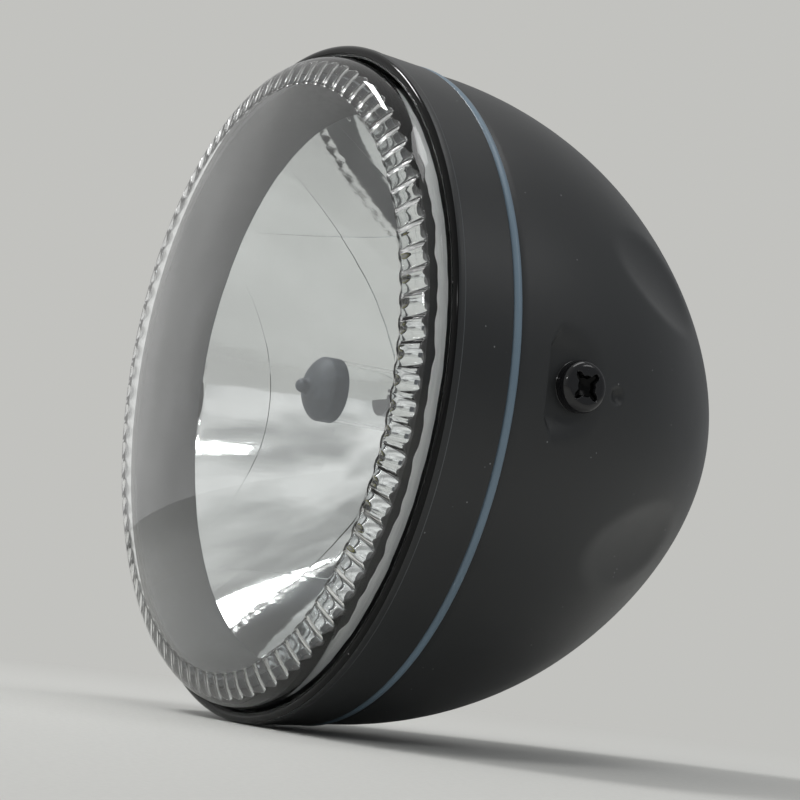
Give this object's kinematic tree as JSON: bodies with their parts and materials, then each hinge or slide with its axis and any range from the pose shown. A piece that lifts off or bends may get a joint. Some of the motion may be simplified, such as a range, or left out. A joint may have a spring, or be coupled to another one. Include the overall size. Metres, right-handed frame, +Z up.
{
  "type": "round motorcycle headlight",
  "caption": "Round black headlight for a motorcycle: deep steel bucket, trim ring, fluted domed lens, faceted reflector with bulb, held between two side bolts.",
  "frame": {"origin": "the point where the lamp's axis meets the common axis of the two side bolts", "axes": "+Z up, +Y along the lamp's axis towards the back of the bucket, the lens facing -Y, +X along the side bolts' axis to the lamp's side that the picture shows"},
  "size_m": [0.17, 0.1415, 0.17],
  "materials": {
    "bucket_paint": "fine-grained satin black paint",
    "ring_paint": "satin black paint",
    "seam_coat": "satin blue-grey coat",
    "screw_black": "gloss black coat",
    "zinc_steel": "dull zinc plate",
    "clear_glass": "clear moulded glass, fluted ring inside",
    "black_rubber": "matte black rubber",
    "mirror_coat": "bright vapour-deposited aluminium",
    "spring_steel": "bare spring steel",
    "yellow_zinc": "yellow-passivated zinc plate",
    "bulb_clear": "clear bulb glass",
    "tip_coat": "matte grey glare coating",
    "bulb_metal": "plain nickel-plated steel",
    "insulator_black": "matte black moulding",
    "contact_metal": "tin-plated brass",
    "wire_metal": "bare drawn wire and sheet"
  },
  "bodies": {
    "root": {"bucket": "bucket_paint", "seam_ring": "seam_coat", "trim_ring": "ring_paint", "rim_hook": "ring_paint", "rim_screw": "screw_black", "rim_nut": "zinc_steel", "lens_glass": "clear_glass", "lens_seal": "black_rubber", "reflector": "mirror_coat", "insert_clips": "spring_steel", "bulb_seat": "yellow_zinc", "seat_rivets": "zinc_steel", "bulb_clip": "spring_steel", "bulb_glass": "bulb_clear", "bulb_tip_coat": "tip_coat", "bulb_base": "bulb_metal", "bulb_insulator": "insulator_black", "bulb_contacts": "contact_metal", "bulb_stem": "bulb_clear", "bulb_leads": "wire_metal", "bulb_filaments": "wire_metal", "bulb_shield": "wire_metal", "rubber_boot": "black_rubber", "side_screws": "screw_black", "side_nuts": "zinc_steel", "cable_grommet": "black_rubber"}
  },
  "joints": []
}
